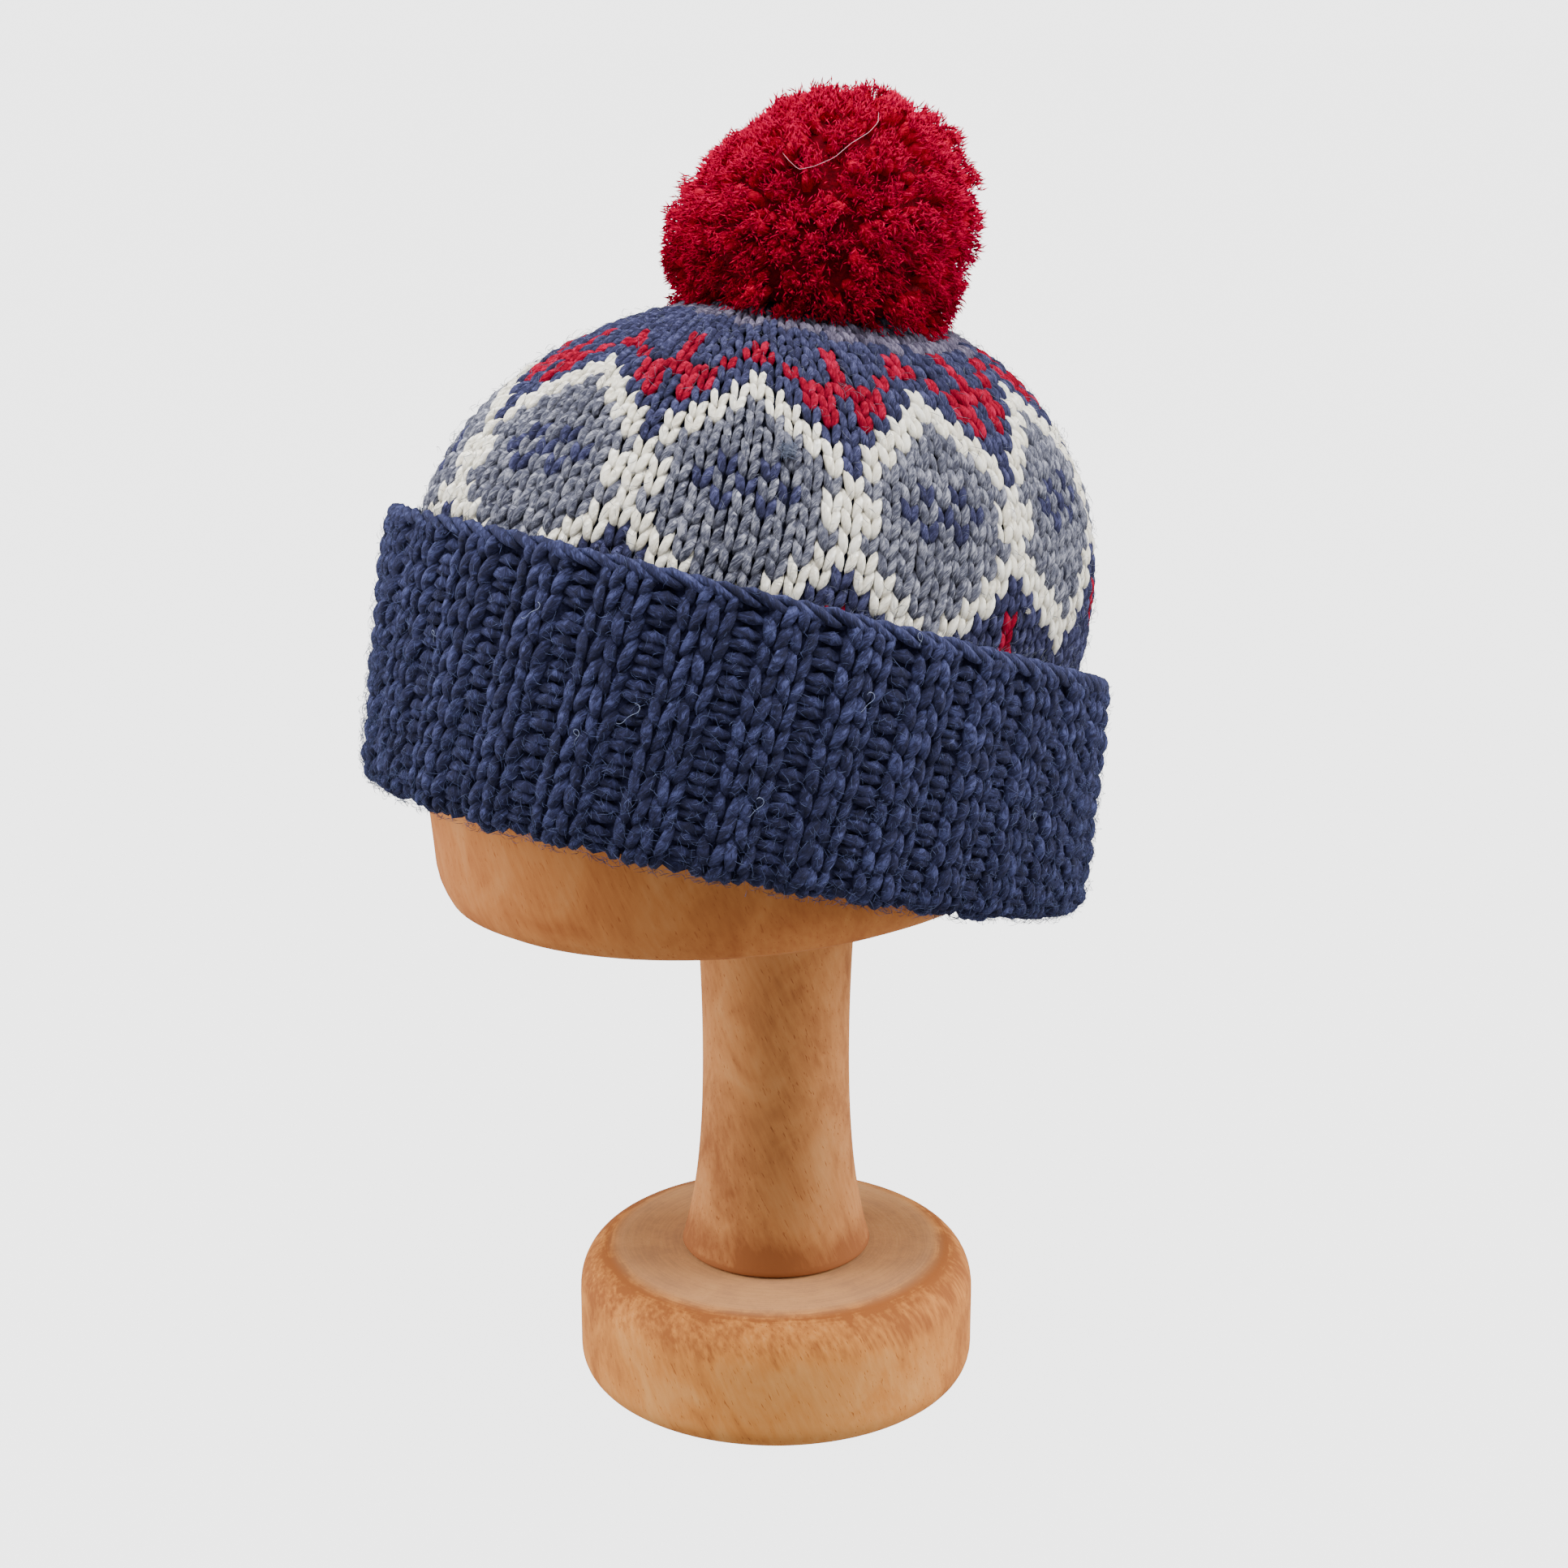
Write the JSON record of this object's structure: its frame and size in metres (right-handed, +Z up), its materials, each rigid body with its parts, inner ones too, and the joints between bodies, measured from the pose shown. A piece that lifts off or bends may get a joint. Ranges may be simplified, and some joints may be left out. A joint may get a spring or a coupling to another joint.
{
  "type": "beanie on a hat stand",
  "caption": "Chunky knitted beanie with a folded ribbed cuff, a patterned crown and a yarn pompom, resting on a turned wooden hat stand.",
  "frame": {"origin": "centre of the underside of the stand's round base", "axes": "+Z up along the stand's post, -Y towards the hat's front, +X towards the hat's left side as it is worn"},
  "size_m": [0.1888, 0.2227, 0.3809],
  "materials": {
    "crown_wool": "patterned wool knit in navy, marl grey, cream and red",
    "cuff_wool": "heathered navy wool in two by one rib",
    "pompom_wool": "cut red wool yarn",
    "stand_wood": "turned wood with a thin satin stain"
  },
  "bodies": {
    "root": {"crown": "crown_wool", "cuff": "cuff_wool", "pompom": "pompom_wool", "stand_block": "stand_wood", "stand_post": "stand_wood", "stand_base": "stand_wood"}
  },
  "joints": []
}
